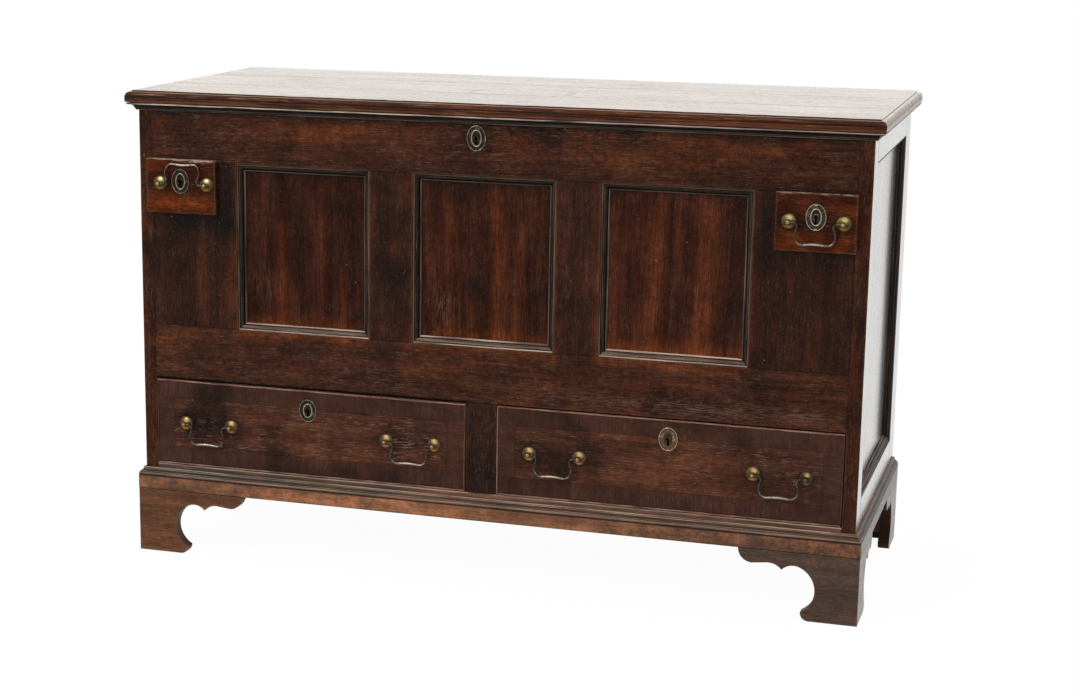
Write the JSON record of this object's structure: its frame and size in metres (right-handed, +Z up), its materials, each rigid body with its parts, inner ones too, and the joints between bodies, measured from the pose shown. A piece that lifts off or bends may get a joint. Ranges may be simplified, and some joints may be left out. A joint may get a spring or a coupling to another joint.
{
  "type": "mule chest",
  "caption": "Oak mule chest with a lift-up lid over a deep well, recessed front panels, false drawer fronts, real drawers below, a moulded base and bracket feet.",
  "frame": {"origin": "on the floor, under the middle of the whole chest's box", "axes": "+X along the front towards the right end, +Y from the front to the back, +Z up"},
  "size_m": [1.286, 0.5512, 0.818],
  "materials": {
    "carcass_oak": "waxed, dark red-brown, grain along each board",
    "end_oak": "waxed, worn, red-brown",
    "panel_oak": "waxed, upright grain with orange-red streaks",
    "moulding_oak": "blackened hollows, edges worn to pale wood",
    "lid_oak": "polished, scratched, grain along the length",
    "base_oak": "waxed, lighter brown, worn edges",
    "dummy_oak": "waxed, bright red-brown, worn edges",
    "drawer_oak": "waxed, open-pored, crossbanded edges",
    "bead_oak": "waxed, edges worn pale",
    "inner_oak": "dry, unpolished",
    "bail_brass": "tarnished dark, rubbed at the high places",
    "post_brass": "aged, part tarnished",
    "plate_brass": "aged, rubbed rim",
    "lock_iron": "dark, smooth",
    "hinge_iron": "dark, smooth"
  },
  "bodies": {
    "chest": {"front_top_rail": "carcass_oak", "front_lower_rail": "carcass_oak", "front_bottom_rail": "carcass_oak", "front_stiles": "carcass_oak", "front_muntins": "carcass_oak", "drawer_muntin": "carcass_oak", "left_end_frame": "end_oak", "right_end_frame": "end_oak", "left_end_panel": "end_oak", "right_end_panel": "end_oak", "front_panels": "panel_oak", "front_panel_mouldings": "moulding_oak", "end_panel_mouldings": "moulding_oak", "lid_moulding": "moulding_oak", "base_moulding": "base_oak", "plinth_band": "base_oak", "front_feet": "base_oak", "rear_feet": "base_oak", "foot_glue_blocks": "inner_oak", "left_dummy_front": "dummy_oak", "right_dummy_front": "dummy_oak", "back_rails": "inner_oak", "back_boards": "inner_oak", "well_floor": "inner_oak", "drawer_partition": "inner_oak", "drawer_runners": "inner_oak", "drawer_guides_and_stops": "inner_oak", "dummy_pull_posts": "post_brass", "chest_escutcheons": "plate_brass", "lid_lock_case": "lock_iron", "hinge_frame_leaves_and_pins": "hinge_iron"},
    "lid": {"lid_boards": "lid_oak", "lid_battens": "inner_oak", "hinge_lid_leaves": "hinge_iron", "lid_lock_catch": "lock_iron"},
    "lid_lock_bolt": {"lid_lock_bolt": "lock_iron"},
    "left_drawer": {"left_drawer_front": "drawer_oak", "left_drawer_cockbead": "bead_oak", "left_drawer_sides_and_back": "inner_oak", "left_drawer_bottom": "inner_oak", "left_drawer_pull_posts": "post_brass", "left_drawer_escutcheon": "plate_brass", "left_drawer_lock_case": "lock_iron"},
    "left_drawer_lock_bolt": {"left_drawer_lock_bolt": "lock_iron"},
    "left_drawer_left_bail": {"left_drawer_left_bail": "bail_brass"},
    "left_drawer_right_bail": {"left_drawer_right_bail": "bail_brass"},
    "right_drawer": {"right_drawer_front": "drawer_oak", "right_drawer_cockbead": "bead_oak", "right_drawer_sides_and_back": "inner_oak", "right_drawer_bottom": "inner_oak", "right_drawer_pull_posts": "post_brass", "right_drawer_escutcheon": "plate_brass", "right_drawer_lock_case": "lock_iron"},
    "right_drawer_lock_bolt": {"right_drawer_lock_bolt": "lock_iron"},
    "right_drawer_left_bail": {"right_drawer_left_bail": "bail_brass"},
    "right_drawer_right_bail": {"right_drawer_right_bail": "bail_brass"},
    "left_dummy_bail": {"left_dummy_bail": "bail_brass"},
    "right_dummy_bail": {"right_dummy_bail": "bail_brass"}
  },
  "joints": [
    {"name": "lid_hinge", "type": "hinge", "parent": "chest", "child": "lid", "pos_m": [0, 0.27115, 0.798], "axis": [-1, 0, 0], "range_deg": [0, 95]},
    {"name": "lid_lock_bolt_slide", "type": "slide", "parent": "chest", "child": "lid_lock_bolt", "axis": [1, 0, 0], "range_m": [0, 0.012]},
    {"name": "left_drawer_slide", "type": "slide", "parent": "chest", "child": "left_drawer", "axis": [0, -1, 0], "range_m": [0, 0.38]},
    {"name": "left_drawer_lock_bolt_slide", "type": "slide", "parent": "left_drawer", "child": "left_drawer_lock_bolt", "axis": [0, 0, 1], "range_m": [0, 0.007]},
    {"name": "left_drawer_left_bail_swing", "type": "hinge", "parent": "left_drawer", "child": "left_drawer_left_bail", "pos_m": [-0.5035, -0.26115, 0.2365], "axis": [-1, 0, 0], "range_deg": [-11.5, 191.5]},
    {"name": "left_drawer_right_bail_swing", "type": "hinge", "parent": "left_drawer", "child": "left_drawer_right_bail", "pos_m": [-0.131, -0.26115, 0.2365], "axis": [-1, 0, 0], "range_deg": [-11.5, 191.5]},
    {"name": "right_drawer_slide", "type": "slide", "parent": "chest", "child": "right_drawer", "axis": [0, -1, 0], "range_m": [0, 0.38]},
    {"name": "right_drawer_lock_bolt_slide", "type": "slide", "parent": "right_drawer", "child": "right_drawer_lock_bolt", "axis": [0, 0, 1], "range_m": [0, 0.007]},
    {"name": "right_drawer_left_bail_swing", "type": "hinge", "parent": "right_drawer", "child": "right_drawer_left_bail", "pos_m": [0.1225, -0.26115, 0.2365], "axis": [-1, 0, 0], "range_deg": [-11.5, 191.5]},
    {"name": "right_drawer_right_bail_swing", "type": "hinge", "parent": "right_drawer", "child": "right_drawer_right_bail", "pos_m": [0.499, -0.26115, 0.2365], "axis": [-1, 0, 0], "range_deg": [-11.5, 191.5]},
    {"name": "left_dummy_bail_swing", "type": "hinge", "parent": "chest", "child": "left_dummy_bail", "pos_m": [-0.5393, -0.27115, 0.661], "axis": [1, 0, 0], "range_deg": [0, 203]},
    {"name": "right_dummy_bail_swing", "type": "hinge", "parent": "chest", "child": "right_dummy_bail", "pos_m": [0.5405, -0.27115, 0.6533], "axis": [-1, 0, 0], "range_deg": [-11.5, 191.5]}
  ]
}
